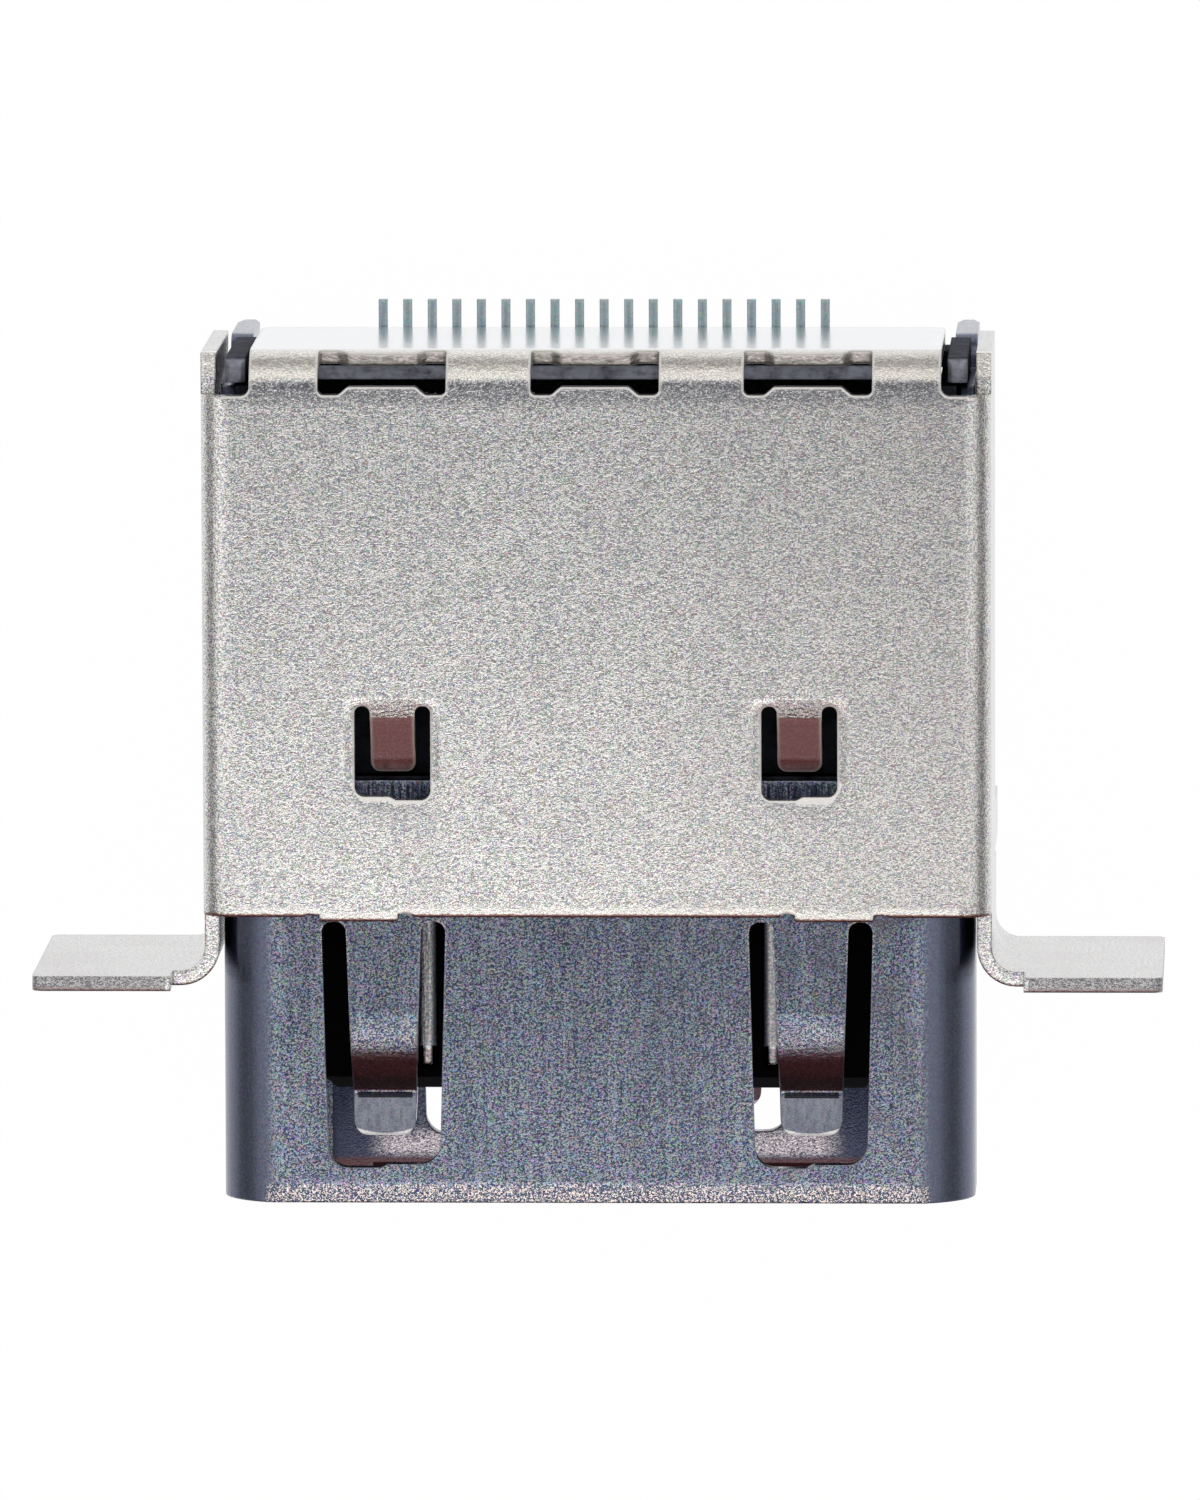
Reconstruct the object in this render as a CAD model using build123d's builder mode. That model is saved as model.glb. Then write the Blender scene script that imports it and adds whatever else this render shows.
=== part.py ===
from build123d import *
import os

os.makedirs("parts", exist_ok=True)

# Frame, in millimetres: the board plane is z = 0, the mouth opens along -Y and the tails leave
# along +Y. The origin is on the board plane at mid width, under the rear face of the flanges.

# sheet metal and fits
cover_sheet = 0.3               # outer shell
shell_sheet = 0.3               # inner shell
fit_gap = 0.05                  # between pieces that sit against each other
slide_gap = 0.02                # round a contact in its groove

# mouth, measured inside the inner shell
mouth_width = 14.6
mouth_height = 4.55
mouth_corner = 1.12             # radius of the two upper corners
mouth_floor = 10.8              # width of the flat floor, before its corners are rounded
shoulder_rise = 1.45            # height of the sloping shoulders beside the floor
shoulder_radius = 0.8
floor_radius = 0.6
mouth_reach = 4.65              # from the flanges' rear face out to the mouth
shell_depth = 8.6               # from the mouth to the inner shell's rear edge
lip_length = 0.42               # bevelled band along the roof's and floor's edge
lip_drop = 0.06
edge_length = 0.15              # inner edge of the mouth, broken for the plug
edge_drop = 0.07

# spring fingers in the inner shell's roof and floor
roof_finger_x = 4.31
floor_finger_x = 2.55
window_frame = 0.72             # band of sheet between the windows and the mouth
window_length = 5.01
window_root_width = 2.51
window_front_width = 2.25
window_step = 0.07              # the punch leaves one half of the front edge further back
window_radius = 0.42
slot_end_radius = 0.22
finger_root_width = 1.53
finger_tip_width = 1.23
finger_bend = 2.55              # from the root to the first bend
finger_crest = 3.52             # from the root to the crest that touches the plug
finger_length = 4.4
finger_dip = 0.58
finger_curl = 0.3
finger_bend_radius = 2.5
finger_crest_radius = 0.3
finger_tip_radius = 0.34

# inner shell behind the mouth tube
plate_top = 3.7                 # upper edge of the side plates
plate_rear = 11.8
leg_reach = 2.9                 # below the board plane, front legs too
leg_chamfer = 0.12              # at each side of a leg's tip
leg_taper = 0.6                 # from the tip up to where its sides are straight
rear_leg_width = 0.45
rear_leg_face = 12.49           # y of the legs' rear face
leg_bend = 0.42                 # outside radius where the rear legs turn down
arm_length = 1.6                # foot strips that carry the rear legs
seam_width = 0.05
seam_x = 0.75                   # the tube's seam runs beside the middle of the floor
seam_lock_width = 0.7
seam_lock_length = 0.8
seam_lock_flare = 0.12
seam_lock_rear = 1.1            # from the shell's rear edge forward to the lock

# outer shell
cover_front = 1.22
cover_rear = 12.65              # outer face of the rear cover
cover_bend = 0.6                # outside radius along the sides
rear_bend = 0.8                 # outside radius over the rear cover
wall_rear = 12.58
wall_bottom = 0.3               # lower edge of the side walls and the rear cover
notch_depth = 0.89              # corner notches, from the rear face forward
notch_radius = 0.18
rear_cover_width = 13.9
rear_cover_radius = 0.3
vent_pitch = 4.28               # three slots across the rear bend
vent_width = 2.58
vent_ahead = 0.7                # from the rear face forward
vent_turn = 67                  # degrees round the rear bend, from the top down
vent_lobe = 0.61
vent_slant = 0.2                # of the lobes' inner side
vent_lobe_ahead = 0.17
vent_lobe_drop = 0.14
vent_radius = 0.18

# latch tabs that drop behind the inner shell's rear edge
latch_x = 4.095
latch_width = 1.53
latch_show = 0.36               # strip of inner shell that the window leaves open
latch_step = 0.07
latch_radius = 0.2
tab_width = 0.9
tab_gap = 0.17                  # from the tab's tip to the inner shell
tab_length = 1.38
tab_drop = 0.52
tab_flat = 0.165                # level with the sheet, from the root
tab_bend = 0.27                 # from the root to the tab's bend
tab_bend_radius = 0.4
tab_tip_radius = 0.2

# lugs and nicks where the outer shell's blank was cut from its strip
lug_x = 4.79
lug_width = 1.57
lug_length = 0.09
nick_width = 0.32
nick_depth = 0.08

# panel flanges
flange_span = 22.8
flange_top = 5.45
flange_bottom = -1.0
flange_inner = 8.6              # x where the plate begins
flange_bend = 0.5               # inside radius
flange_corner = 0.2
strap_top = 4.55                # the strap between the side wall and the plate
strap_rear = 1.75
front_leg_width = 1.0
front_leg_gap = 0.2             # between the strap and the leg behind it

# moulded housing
tongue_width = 11.2
tongue_thickness = 1.6
tongue_floor = 1.9              # z of the tongue's lower face
tongue_tip = 2.1                # from the mouth back to the tongue's front face
tongue_bevel = 0.25
tongue_root = 6.85              # from the mouth back to the face that the tongue grows from
block_rear = 9.9
cheek_thickness = 0.35
cheek_top = 4.8
latch_pocket = 0.85             # depth of the pockets under the latch tabs
pocket_margin = 0.15

# rear insert that locates the tails
deck_top = 1.5
comb_bottom = 0.05
insert_wall = 0.28
insert_wall_top = 4.64
insert_wall_width = 13.6
post_inner = 7.07
post_outer = 7.47
post_front = 11.95
post_rear = 12.45
post_top = 4.62
post_round = 0.2
post_chamfer = 0.08

# contacts
pin_pitch = 0.5
pin_count = 19                  # ten on the upper side of the tongue, nine on the lower
pin_width = 0.37
pin_thickness = 0.2
pin_start = 0.52                # from the tongue's front face back
nose_length = 0.36              # narrow nose that dips into the tongue
nose_dip = 0.1
pin_bend = 0.25                 # radius at the middle of the strip
tail_width = 0.18
tail_end = 13.2
upper_drop = 11.3               # y where each row turns down to the board
lower_drop = 10.5

# places that follow from the sizes above
mouth_half = mouth_width / 2
shell_half = mouth_half + shell_sheet
roof_inside = shell_sheet + mouth_height
roof_top = roof_inside + shell_sheet
shoulder_top = shell_sheet + shoulder_rise
shell_rear = shell_depth - mouth_reach
window_front = window_frame - mouth_reach
window_root = window_front + window_length
wall_inside = shell_half + fit_gap
cover_half = wall_inside + cover_sheet
wall_middle = wall_inside + cover_sheet / 2
cover_underside = roof_top + fit_gap
cover_top = cover_underside + cover_sheet
cover_middle = cover_underside + cover_sheet / 2
notch_front = cover_rear - notch_depth
wall_cut = cover_top - cover_bend
vent_front = cover_rear - vent_ahead
bend_axis = Plane((0, cover_rear - rear_bend, cover_top - rear_bend))
vent_plane = bend_axis.rotated((-vent_turn, 0, 0)).offset(rear_bend)
tab_tip = shell_rear + tab_gap
tab_root = tab_tip + tab_length
leg_front = strap_rear + front_leg_gap
leg_rear = leg_front + front_leg_width
latch_front = shell_rear - latch_show
tongue_front = tongue_tip - mouth_reach
tongue_back = tongue_root - mouth_reach
tongue_top = tongue_floor + tongue_thickness
block_half = mouth_half - fit_gap
block_top = roof_top
block_bottom = fit_gap
block_front = shell_rear + fit_gap
cheek_rear = post_front - fit_gap
insert_rear = cover_rear - cover_sheet - fit_gap
insert_bottom = shell_sheet + fit_gap
deck_half = block_half - cheek_thickness - fit_gap
pin_tip = tongue_front + pin_start
strip_front = pin_tip + nose_length
groove_width = pin_width + 2 * slide_gap
tail_groove = tail_width + 4 * slide_gap

above = 3 * cover_top           # taller than any cut needs


def at_y(y):
    # A plane across the mating axis: local x is X, local y is Z, and it extrudes along -Y.
    return Plane.XZ.offset(-y)


def mouth_section(grow):
    # The D-shaped opening, grown outwards by a sheet or inwards by a gap.
    corners = [floor_radius, shoulder_radius, mouth_corner]
    with BuildSketch() as section:
        with BuildLine():
            FilletPolyline(
                (mouth_floor / 2, shell_sheet),
                (mouth_half, shoulder_top),
                (mouth_half, roof_inside),
                (-mouth_half, roof_inside),
                (-mouth_half, shoulder_top),
                (-mouth_floor / 2, shell_sheet),
                radius=corners + corners[::-1],
                close=True,
            )
        make_face()
        if grow:
            offset(amount=grow)
    return section.sketch


def sheet_profile(points, radius, thickness):
    # A bent strip seen edge-on, from the line along the middle of the sheet.
    with BuildSketch() as profile:
        with BuildLine():
            FilletPolyline(*points, radius=radius)
        trace(line_width=thickness)
    return profile.sketch


def lanced_window(root_width, front_width, length, step, radius, tongue_widths, flat):
    # The hole round a lanced tongue: its root is on the X axis and it points along -Y.
    root, front = root_width / 2, front_width / 2
    tongue_root_half, tongue_flat_half = tongue_widths[0] / 2, tongue_widths[1] / 2
    with BuildSketch() as window:
        with BuildLine():
            Polyline(
                (-root, 0),
                (-front, -length),
                (-step, -length),
                (step, step - length),
                (front, step - length),
                (root, 0),
                close=True,
            )
        make_face()
        front_corners = window.vertices().filter_by(lambda v: v.Y < -length / 2 and abs(v.X) > front / 2)
        fillet(front_corners, radius=radius)
        with BuildLine():
            Polyline(
                (-tongue_root_half, 0),
                (-tongue_flat_half, -flat),
                (tongue_flat_half, -flat),
                (tongue_root_half, 0),
                close=True,
            )
        make_face(mode=Mode.SUBTRACT)
        slot_end = min(slot_end_radius, 0.48 * (root - tongue_root_half), 0.9 * flat)
        fillet(window.vertices().group_by(Axis.Y)[-1], radius=slot_end)
    return window.sketch


def tongue_outline(root_width, tip_width, length, radius):
    # Plan of a lanced tongue, from its root on the X axis to its rounded tip.
    with BuildSketch() as outline:
        with BuildLine():
            Polyline(
                (-root_width / 2, 0),
                (-tip_width / 2, -length),
                (tip_width / 2, -length),
                (root_width / 2, 0),
                close=True,
            )
        make_face()
        fillet(outline.vertices().group_by(Axis.Y)[0], radius=radius)
    return outline.sketch


def vent_end(length, drop):
    # One end of a vent slot: its edge lies on the X axis, between lobes that reach up by the drop.
    half = vent_width / 2
    lobe_inside = half - vent_lobe
    with BuildSketch() as end:
        with BuildLine():
            Polyline(
                (-half, -length),
                (-half, drop),
                (-lobe_inside - vent_slant, drop),
                (-lobe_inside, 0),
                (lobe_inside, 0),
                (lobe_inside + vent_slant, drop),
                (half, drop),
                (half, -length),
                close=True,
            )
        make_face()
        slant_length = (drop**2 + vent_slant**2) ** 0.5
        lobe_radius = min(vent_radius, 0.45 * (vent_lobe - vent_slant), 0.45 * slant_length)
        fillet(end.vertices().filter_by(lambda v: v.Y > -length / 2), radius=lobe_radius)
    return end.sketch


# A spring finger with its root at the origin, on the middle plane of the sheet
finger_flat = finger_bend / 2
finger_flat_width = finger_root_width - (finger_root_width - finger_tip_width) * finger_flat / finger_length
with BuildPart() as finger:
    with BuildSketch(Plane.YZ):
        finger_line = [
            (0, 0),
            (-finger_bend, 0),
            (-finger_crest, -finger_dip),
            (-finger_length, finger_curl - finger_dip),
        ]
        add(sheet_profile(finger_line, [finger_bend_radius, finger_crest_radius], shell_sheet))
    extrude(amount=finger_root_width, both=True)
    with BuildSketch(Plane.XY.offset(-above / 2)):
        add(tongue_outline(finger_root_width, finger_tip_width, finger_length, finger_tip_radius))
    extrude(amount=above, mode=Mode.INTERSECT)
floor_finger = mirror(finger.part, about=Plane.XY)

finger_window = lanced_window(
    window_root_width,
    window_front_width,
    window_length,
    window_step,
    window_radius,
    (finger_root_width, finger_flat_width),
    finger_flat,
)

# Inner shell: the D-shaped tube, its spring fingers, side plates and two board legs
with BuildPart() as inner_shell:
    with BuildSketch(at_y(-mouth_reach)):
        add(mouth_section(shell_sheet))
        add(mouth_section(0), mode=Mode.SUBTRACT)
    extrude(amount=-shell_depth)

    # bevelled lips
    with BuildSketch(Plane.YZ):
        with BuildLine():
            Polyline(
                (-mouth_reach, roof_top),
                (lip_length - mouth_reach, roof_top),
                (-mouth_reach, roof_top - lip_drop),
                close=True,
            )
        make_face()
        with BuildLine():
            Polyline(
                (-mouth_reach, 0),
                (lip_length - mouth_reach, 0),
                (-mouth_reach, lip_drop),
                close=True,
            )
        make_face()
    extrude(amount=shell_half, both=True, mode=Mode.SUBTRACT)
    broken_edges = [
        (roof_inside, roof_inside + edge_drop, mouth_half - mouth_corner),
        (shell_sheet, shell_sheet - edge_drop, mouth_floor / 2 - floor_radius),
    ]
    for inside, broken, half_width in broken_edges:
        with BuildSketch(Plane.YZ):
            with BuildLine():
                Polyline(
                    (-mouth_reach, inside),
                    (edge_length - mouth_reach, inside),
                    (-mouth_reach, broken),
                    close=True,
                )
            make_face()
        extrude(amount=half_width, both=True, mode=Mode.SUBTRACT)

    # windows
    with BuildSketch(Plane.XY.offset(roof_inside - shell_sheet)):
        with Locations((-roof_finger_x, window_root), (roof_finger_x, window_root)):
            add(finger_window)
    extrude(amount=above, mode=Mode.SUBTRACT)
    with BuildSketch(Plane.XY.offset(2 * shell_sheet)):
        with Locations((-floor_finger_x, window_root), (floor_finger_x, window_root)):
            add(finger_window)
    extrude(amount=-above, mode=Mode.SUBTRACT)
    roof_middle = roof_top - shell_sheet / 2
    with Locations((-roof_finger_x, window_root, roof_middle), (roof_finger_x, window_root, roof_middle)):
        add(finger.part)
    floor_middle = shell_sheet / 2
    with Locations((-floor_finger_x, window_root, floor_middle), (floor_finger_x, window_root, floor_middle)):
        add(floor_finger)

    # seam of the rolled tube, with its dovetail lock
    with BuildSketch(Plane.XY.offset(-shell_sheet)):
        lock_front = shell_rear - seam_lock_rear - seam_lock_length
        lock_rear = shell_rear - seam_lock_rear
        lock_edge = seam_x - seam_lock_width
        with BuildLine():
            Polyline(
                (seam_x, -2 * mouth_reach),
                (seam_x, lock_front),
                (lock_edge, lock_front - seam_lock_flare),
                (lock_edge, lock_rear + seam_lock_flare),
                (seam_x, lock_rear),
                (seam_x, 2 * shell_rear),
            )
        trace(line_width=seam_width)
    extrude(amount=3 * shell_sheet, mode=Mode.SUBTRACT)

    # side plates behind the tube
    for side in (-1, 1):
        plate_x = side * (shell_half - shell_sheet / 2)
        with BuildSketch(Plane.YZ.offset(plate_x)):
            with Locations((shell_rear, 0)):
                Rectangle(plate_rear - shell_rear, plate_top, align=(Align.MIN, Align.MIN))
        extrude(amount=shell_sheet / 2, both=True)

        # foot strip under the rear insert, turned down into the rear leg
        with BuildSketch(Plane.YZ.offset(side * (shell_half - rear_leg_width / 2))):
            arm_line = [
                (plate_rear - arm_length, shell_sheet / 2),
                (rear_leg_face - shell_sheet / 2, shell_sheet / 2),
                (rear_leg_face - shell_sheet / 2, -leg_reach),
            ]
            add(sheet_profile(arm_line, leg_bend - shell_sheet / 2, shell_sheet))
        extrude(amount=rear_leg_width / 2, both=True)
    for leg_tip in inner_shell.faces().group_by(Axis.Z)[0]:
        tip_edges = leg_tip.edges().filter_by(Axis.Y)
        chamfer(tip_edges, length=leg_chamfer, length2=leg_taper, reference=leg_tip)
inner_shell.part.label = "inner_shell"
export_step(inner_shell.part, "parts/inner_shell.step")

# A latch tab with its root at the origin, on the middle plane of the sheet
latch_length = tab_root - latch_front
with BuildPart() as tab:
    with BuildSketch(Plane.YZ):
        tab_line = [(0, 0), (-tab_bend, 0), (-tab_length, -tab_drop)]
        add(sheet_profile(tab_line, tab_bend_radius, cover_sheet))
    extrude(amount=tab_width, both=True)
    with BuildSketch(Plane.XY.offset(-above / 2)):
        add(tongue_outline(tab_width, tab_width, tab_length, tab_tip_radius))
    extrude(amount=above, mode=Mode.INTERSECT)

latch_window = lanced_window(
    latch_width,
    latch_width,
    latch_length,
    latch_step,
    latch_radius,
    (tab_width, tab_width),
    tab_flat,
)

# Outer shell: roof and side walls, rear cover, latch tabs, panel flanges and two board legs
with BuildPart() as outer_shell:
    with BuildSketch(at_y(cover_front)):
        channel_line = [
            (-wall_middle, wall_bottom),
            (-wall_middle, cover_middle),
            (wall_middle, cover_middle),
            (wall_middle, wall_bottom),
        ]
        add(sheet_profile(channel_line, cover_bend - cover_sheet / 2, cover_sheet))
    extrude(amount=cover_front - notch_front)
    with BuildSketch(at_y(notch_front)):
        with Locations((-wall_middle, wall_bottom), (wall_middle, wall_bottom)):
            Rectangle(cover_sheet, wall_cut - wall_bottom, align=(Align.CENTER, Align.MIN))
    extrude(amount=notch_front - wall_rear)

    # rear cover, folded down over the rear bend
    with BuildSketch(Plane.YZ):
        rear_middle = cover_rear - cover_sheet / 2
        rear_line = [
            (notch_front - notch_depth, cover_middle),
            (rear_middle, cover_middle),
            (rear_middle, wall_bottom),
        ]
        add(sheet_profile(rear_line, rear_bend - cover_sheet / 2, cover_sheet))
    extrude(amount=cover_half - cover_bend, both=True)
    with BuildSketch(Plane.XY.offset(wall_bottom - above / 2)):
        notch_width = wall_inside - rear_cover_width / 2
        for side in (-1, 1):
            with Locations((side * (wall_inside - notch_width / 2), notch_front)):
                Rectangle(notch_width, 2 * notch_depth, align=(Align.CENTER, Align.MIN))
        inner_corners = vertices().group_by(Axis.Y)[0].filter_by(
            lambda v: abs(v.X) < wall_inside - notch_radius / 2
        )
        fillet(inner_corners, radius=notch_radius)
    extrude(amount=2 * above, mode=Mode.SUBTRACT)
    lower_corners = outer_shell.edges().filter_by(Axis.Y).filter_by(
        lambda e: abs(abs(e.center().X) - rear_cover_width / 2) < slide_gap and e.center().Z < cover_top / 2
    )
    fillet(lower_corners, radius=rear_cover_radius)

    # vent slots across the rear bend: cut from above, then squarely through the bent sheet
    with BuildSketch(Plane.XY.offset(bend_axis.origin.Z)):
        vent_length = vent_plane.offset(-cover_sheet).origin.Y - vent_front
        with Locations((0, vent_front)):
            with GridLocations(vent_pitch, 0, 3, 1):
                add(vent_end(vent_length, vent_lobe_ahead), rotation=180)
    extrude(amount=above, mode=Mode.SUBTRACT)
    with BuildSketch(vent_plane):
        with GridLocations(vent_pitch, 0, 3, 1):
            add(vent_end(rear_bend - cover_sheet, vent_lobe_drop))
    extrude(amount=-cover_sheet - fit_gap, mode=Mode.SUBTRACT)

    # latch windows and tabs
    with BuildSketch(Plane.XY.offset(cover_underside - fit_gap)):
        with Locations((latch_x, tab_root)):
            add(latch_window)
        mirror(about=Plane.YZ)
    extrude(amount=above, mode=Mode.SUBTRACT)
    with Locations((-latch_x, tab_root, cover_middle), (latch_x, tab_root, cover_middle)):
        add(tab.part)

    # front edge
    with BuildSketch(Plane.XY.offset(cover_underside)):
        with Locations((-lug_x, cover_front), (lug_x, cover_front)):
            Rectangle(lug_width, 2 * lug_length)
    extrude(amount=cover_sheet)
    with BuildSketch(Plane.XY.offset(cover_underside)):
        for side in (-1, 1):
            nick_offset = (lug_width + nick_width) / 2
            with Locations((side * (lug_x - nick_offset), cover_front)):
                Ellipse(nick_width / 2, nick_depth)
            with Locations((side * (lug_x + nick_offset), cover_front)):
                Ellipse(nick_width / 2, nick_depth / 2)
    extrude(amount=cover_sheet, mode=Mode.SUBTRACT)

    # panel flanges and the straps that carry them
    flange_middle = -cover_sheet / 2
    for side in (-1, 1):
        with BuildSketch(Plane.XY.offset(flange_bottom)):
            strap_line = [
                (side * wall_middle, strap_rear),
                (side * wall_middle, flange_middle),
                (side * flange_span / 2, flange_middle),
            ]
            add(sheet_profile(strap_line, flange_bend + cover_sheet / 2, cover_sheet))
        extrude(amount=strap_top - flange_bottom)
        with BuildSketch(at_y(0)):
            with Locations((side * flange_inner, flange_bottom)):
                plate_width = flange_span / 2 - flange_inner
                plate_align = (Align.MIN if side > 0 else Align.MAX, Align.MIN)
                Rectangle(plate_width, flange_top - flange_bottom, align=plate_align)
        extrude(amount=cover_sheet)
    flange_ends = outer_shell.edges().filter_by(Axis.Y).filter_by(
        lambda e: abs(abs(e.center().X) - flange_span / 2) < slide_gap
    )
    fillet(flange_ends, radius=flange_corner)

    # board legs, straight down from the side walls
    for side in (-1, 1):
        with BuildSketch(Plane.YZ.offset(side * wall_middle)):
            with BuildLine():
                Polyline(
                    (leg_front, wall_bottom + cover_sheet),
                    (leg_front, leg_taper - leg_reach),
                    (leg_front + leg_chamfer, -leg_reach),
                    (leg_rear - leg_chamfer, -leg_reach),
                    (leg_rear, leg_taper - leg_reach),
                    (leg_rear, wall_bottom + cover_sheet),
                    close=True,
                )
            make_face()
        extrude(amount=cover_sheet / 2, both=True)
outer_shell.part.label = "outer_shell"
export_step(outer_shell.part, "parts/outer_shell.step")

# The contacts' places: upper and lower rows alternate along the pitch
pin_places = []
for number in range(pin_count):
    pin_x = (number - (pin_count - 1) / 2) * pin_pitch
    if number % 2 == 0:
        pin_places.append((pin_x, tongue_top - pin_thickness / 2, upper_drop))
    else:
        pin_places.append((pin_x, tongue_floor + pin_thickness / 2, lower_drop))

# Housing: the block inside both shells, its tongue and the cheeks beside the contacts
with BuildPart() as housing:
    with BuildSketch(at_y(tongue_back)):
        add(mouth_section(-fit_gap))
    extrude(amount=tongue_back - block_front)
    with BuildSketch(at_y(block_front)):
        with Locations((0, block_bottom)):
            Rectangle(2 * block_half, block_top - block_bottom, align=(Align.CENTER, Align.MIN))
    extrude(amount=block_front - block_rear)
    for side in (-1, 1):
        with BuildSketch(at_y(block_rear)):
            with Locations((side * (block_half - cheek_thickness / 2), insert_bottom)):
                Rectangle(cheek_thickness, cheek_top - insert_bottom, align=(Align.CENTER, Align.MIN))
        extrude(amount=block_rear - cheek_rear)

    # tongue with a bevelled front
    with BuildSketch(at_y(tongue_back)):
        with Locations((0, tongue_floor)):
            Rectangle(tongue_width, tongue_thickness, align=(Align.CENTER, Align.MIN))
    extrude(amount=tongue_root - tongue_tip)
    tongue_face = housing.faces().filter_by(Axis.Y).sort_by(Axis.Y)[0]
    chamfer(tongue_face.edges(), length=tongue_bevel)

    # pockets under the latch tabs
    with BuildSketch(Plane.XY.offset(block_top - latch_pocket)):
        with Locations((-latch_x, block_front), (latch_x, block_front)):
            pocket_length = tab_root - block_front + pocket_margin
            Rectangle(latch_width + 2 * pocket_margin, pocket_length, align=(Align.CENTER, Align.MIN))
    extrude(amount=above, mode=Mode.SUBTRACT)

    # grooves along the tongue that run on through the block
    for pin_x, pin_z, drop in pin_places:
        with BuildSketch(at_y(pin_tip - slide_gap)):
            with Locations((pin_x, pin_z)):
                Rectangle(groove_width, pin_thickness + 2 * slide_gap)
        extrude(amount=pin_tip - block_rear - fit_gap, mode=Mode.SUBTRACT)
        with BuildSketch(at_y(pin_tip - pin_thickness / 2)):
            nose_side = 1 if drop == lower_drop else -1
            with Locations((pin_x, pin_z + nose_side * nose_dip / 2)):
                Rectangle(tail_groove, pin_thickness + nose_dip + 2 * slide_gap)
        extrude(amount=-nose_length - pin_thickness / 2, mode=Mode.SUBTRACT)
housing.part.label = "housing"
export_step(housing.part, "parts/housing.step")

# Rear insert: deck with a hole for each contact, rear wall, comb and corner posts
with BuildPart() as rear_insert:
    with BuildSketch(Plane.XY.offset(insert_bottom)):
        with Locations((0, block_rear + fit_gap)):
            Rectangle(2 * deck_half, insert_rear - block_rear - fit_gap, align=(Align.CENTER, Align.MIN))
        with Locations((0, post_front)):
            Rectangle(2 * post_outer, insert_rear - post_front, align=(Align.CENTER, Align.MIN))
    extrude(amount=deck_top - insert_bottom)
    with BuildSketch(Plane.XY.offset(comb_bottom)):
        with Locations((0, insert_rear)):
            Rectangle(insert_wall_width, insert_wall, align=(Align.CENTER, Align.MAX))
    extrude(amount=insert_wall_top - comb_bottom)
    with BuildSketch(Plane.XY.offset(insert_bottom)):
        for side in (-1, 1):
            with Locations((side * (post_inner + post_outer) / 2, post_front)):
                Rectangle(post_outer - post_inner, post_rear - post_front, align=(Align.CENTER, Align.MIN))
    extrude(amount=post_top - insert_bottom)
    post_tops = rear_insert.faces().filter_by(Plane.XY).filter_by_position(
        Axis.Z, post_top - slide_gap / 2, post_top + slide_gap / 2
    )
    chamfer(post_tops.edges().filter_by(Axis.Y), length=post_chamfer)
    post_tops = rear_insert.faces().filter_by(Plane.XY).filter_by_position(
        Axis.Z, post_top - slide_gap / 2, post_top + slide_gap / 2
    )
    fillet(post_tops.edges().filter_by(Axis.X).group_by(Axis.Y)[-1], radius=post_round)

    # holes for the contacts and grooves for their tails
    for pin_x, pin_z, drop in pin_places:
        with BuildSketch(Plane.XY.offset(insert_bottom)):
            with Locations((pin_x, drop)):
                Rectangle(tail_groove, pin_thickness + 4 * slide_gap)
        extrude(amount=above, mode=Mode.SUBTRACT)
        with BuildSketch(at_y(insert_rear - insert_wall)):
            with Locations((pin_x, comb_bottom)):
                Rectangle(tail_groove, insert_bottom - comb_bottom, align=(Align.CENTER, Align.MIN))
        extrude(amount=-insert_wall, mode=Mode.SUBTRACT)
rear_insert.part.label = "rear_insert"
export_step(rear_insert.part, "parts/rear_insert.step")

# Contacts: a narrow nose, a wide strip along the tongue, then a narrow one down to the board
# and out to its tail
for number, (pin_x, pin_z, drop) in enumerate(pin_places, start=1):
    with BuildPart() as contact:
        with BuildSketch(Plane.YZ.offset(pin_x)):
            nose_side = 1 if drop == lower_drop else -1
            pin_line = [
                (pin_tip, pin_z + nose_side * nose_dip),
                (strip_front, pin_z),
                (drop, pin_z),
                (drop, pin_thickness / 2),
                (tail_end, pin_thickness / 2),
            ]
            add(sheet_profile(pin_line, pin_bend, pin_thickness))
        extrude(amount=tail_width / 2, both=True)
        with BuildSketch(at_y(strip_front)):
            with Locations((pin_x, pin_z)):
                Rectangle(pin_width, pin_thickness)
        extrude(amount=strip_front - block_rear)
    contact.part.label = f"contact_{number:02d}"
    export_step(contact.part, f"parts/contact_{number:02d}.step")
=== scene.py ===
import math

import bpy
from mathutils import Matrix, Vector


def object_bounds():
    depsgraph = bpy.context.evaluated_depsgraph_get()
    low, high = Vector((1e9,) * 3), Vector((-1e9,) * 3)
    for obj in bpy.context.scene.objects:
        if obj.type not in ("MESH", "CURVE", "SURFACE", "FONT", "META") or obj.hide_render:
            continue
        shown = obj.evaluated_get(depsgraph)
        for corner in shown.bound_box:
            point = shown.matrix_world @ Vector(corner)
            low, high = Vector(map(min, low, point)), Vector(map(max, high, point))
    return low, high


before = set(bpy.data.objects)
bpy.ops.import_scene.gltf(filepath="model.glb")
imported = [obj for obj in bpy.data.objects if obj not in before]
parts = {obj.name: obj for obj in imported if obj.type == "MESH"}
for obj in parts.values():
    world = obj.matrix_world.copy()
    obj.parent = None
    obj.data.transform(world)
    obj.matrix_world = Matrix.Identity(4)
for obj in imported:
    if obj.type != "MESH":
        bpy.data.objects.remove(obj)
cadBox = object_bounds()
print("frame loaded:", len(parts), "pieces")

mm = 0.001


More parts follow.
